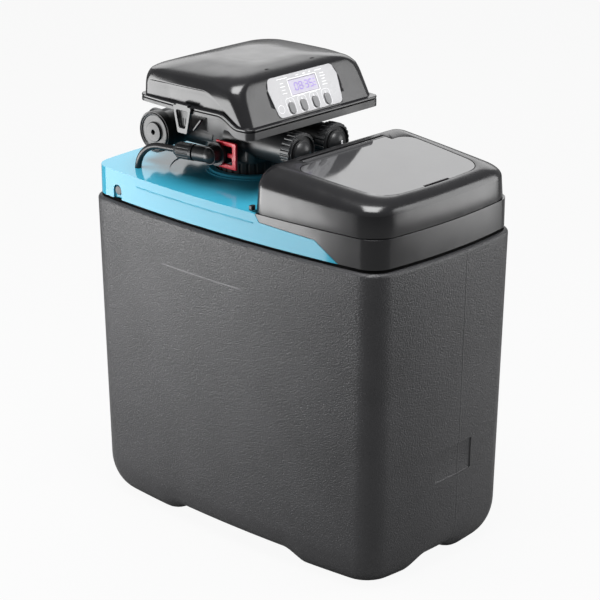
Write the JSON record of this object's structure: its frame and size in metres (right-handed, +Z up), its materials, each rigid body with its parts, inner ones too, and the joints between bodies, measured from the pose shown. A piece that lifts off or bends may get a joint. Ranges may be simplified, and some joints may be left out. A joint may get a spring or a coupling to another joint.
{
  "type": "cabinet water softener",
  "caption": "Cabinet water softener: drafted salt bin with bowed walls, blue rear cover, lift-off lid with hinged salt hatch, and a motor-driven control valve with keypad head.",
  "frame": {"origin": "floor plane under the middle of the cabinet", "axes": "+Z up, -Y towards the front with the salt hatch and display, +X to the right seen from behind the front"},
  "size_m": [0.288, 0.5, 0.5912],
  "materials": {
    "cabinet_grey": "fine leather grain, semi-matt",
    "cover_blue": "gloss",
    "black_gloss": "gloss",
    "black_satin": "satin",
    "smoked_plate": "smoked gloss",
    "tank_shell": "wound shell, painted",
    "white_plastic": "satin",
    "seal_rubber": "matt",
    "steel": "zinc plated",
    "red_plastic": "gloss",
    "grey_plastic": "satin",
    "panel_grey": "gloss film",
    "lcd": "gloss window",
    "button_grey": "soft satin",
    "board_green": "solder mask",
    "gear_nylon": "moulded nylon",
    "hose_black": "satin"
  },
  "bodies": {
    "cabinet": {"cabinet": "cabinet_grey", "rear_cover": "cover_blue", "cover_studs": "grey_plastic", "top_frame": "black_gloss", "resin_tank": "tank_shell", "riser_tube": "white_plastic", "lower_basket": "white_plastic", "upper_basket": "white_plastic", "neck_seal": "seal_rubber", "brine_well": "white_plastic", "well_cap": "white_plastic", "brine_valve": "grey_plastic", "brine_hose": "hose_black", "valve_body": "black_satin", "seal_cage": "white_plastic", "injector": "gear_nylon", "injector_cap": "black_satin", "manifold": "black_satin", "end_cap_left": "black_satin", "end_cap_right": "black_satin", "inlet_port": "black_satin", "outlet_port": "black_satin", "drain_spigot": "black_satin", "brine_elbow": "black_satin", "brine_nut": "black_satin", "head_base": "black_satin", "head_cover": "black_gloss", "latch_left": "grey_plastic", "latch_right": "grey_plastic", "head_screws": "steel", "display_panel": "panel_grey", "lcd": "lcd", "circuit_board": "board_green", "drive_motor": "steel"},
    "salt_lid": {"salt_lid": "black_gloss", "hatch_pin": "steel"},
    "salt_hatch": {"salt_hatch": "smoked_plate"},
    "brine_float": {"brine_float": "white_plastic"},
    "brine_clip": {"brine_clip": "red_plastic"},
    "blend_dial": {"blend_dial": "black_satin"},
    "piston": {"piston": "gear_nylon"},
    "drive_gear": {"drive_gear": "gear_nylon"},
    "motor_pinion": {"motor_pinion": "gear_nylon"},
    "meter_turbine": {"meter_turbine": "white_plastic"},
    "button_1": {"button_1": "button_grey"},
    "button_2": {"button_2": "button_grey"},
    "button_3": {"button_3": "button_grey"},
    "button_4": {"button_4": "button_grey"}
  },
  "joints": [
    {"name": "lid_lift", "type": "slide", "parent": "cabinet", "child": "salt_lid", "axis": [0, 0, 1], "range_m": [0, 0.15]},
    {"name": "hatch_hinge", "type": "hinge", "parent": "salt_lid", "child": "salt_hatch", "pos_m": [0, -0.0755, 0.49457], "axis": [-1, 0, 0], "range_deg": [0, 105]},
    {"name": "float_slide", "type": "slide", "parent": "cabinet", "child": "brine_float", "axis": [0, 0, 1], "range_m": [0, 0.12]},
    {"name": "clip_pull", "type": "slide", "parent": "cabinet", "child": "brine_clip", "axis": [0, -1, 0], "range_m": [0, 0.04]},
    {"name": "blend_turn", "type": "hinge", "parent": "cabinet", "child": "blend_dial", "pos_m": [0.031, -0.03, 0.4915], "axis": [0, -1, 0], "range_deg": [0, 270]},
    {"name": "gear_turn", "type": "hinge", "parent": "cabinet", "child": "drive_gear", "pos_m": [0, 0.08, 0.565], "axis": [0, 0, 1], "range_deg": [-30, 330]},
    {"name": "pinion_turn", "type": "hinge", "parent": "cabinet", "child": "motor_pinion", "pos_m": [0.03775, 0.08, 0.565], "axis": [0, 0, 1], "range_deg": [-1320, 120]},
    {"name": "piston_slide", "type": "slide", "parent": "cabinet", "child": "piston", "axis": [0, 0, 1], "range_m": [0, 0.02]},
    {"name": "turbine_spin", "type": "hinge", "parent": "cabinet", "child": "meter_turbine", "pos_m": [0.031, 0.186, 0.487], "axis": [0, 1, 0], "continuous": true},
    {"name": "button_1_press", "type": "slide", "parent": "cabinet", "child": "button_1", "axis": [0, 0.8988, -0.4384], "range_m": [0, 0.0012], "stiffness_N_per_m": 300},
    {"name": "button_2_press", "type": "slide", "parent": "cabinet", "child": "button_2", "axis": [0, 0.8988, -0.4384], "range_m": [0, 0.0012], "stiffness_N_per_m": 300},
    {"name": "button_3_press", "type": "slide", "parent": "cabinet", "child": "button_3", "axis": [0, 0.8988, -0.4384], "range_m": [0, 0.0012], "stiffness_N_per_m": 300},
    {"name": "button_4_press", "type": "slide", "parent": "cabinet", "child": "button_4", "axis": [0, 0.8988, -0.4384], "range_m": [0, 0.0012], "stiffness_N_per_m": 300}
  ],
  "couplings": [
    {"joint": "gear_turn", "follows": "piston_slide", "rad_per_m": 235.62},
    {"joint": "pinion_turn", "follows": "piston_slide", "rad_per_m": -942.48}
  ]
}
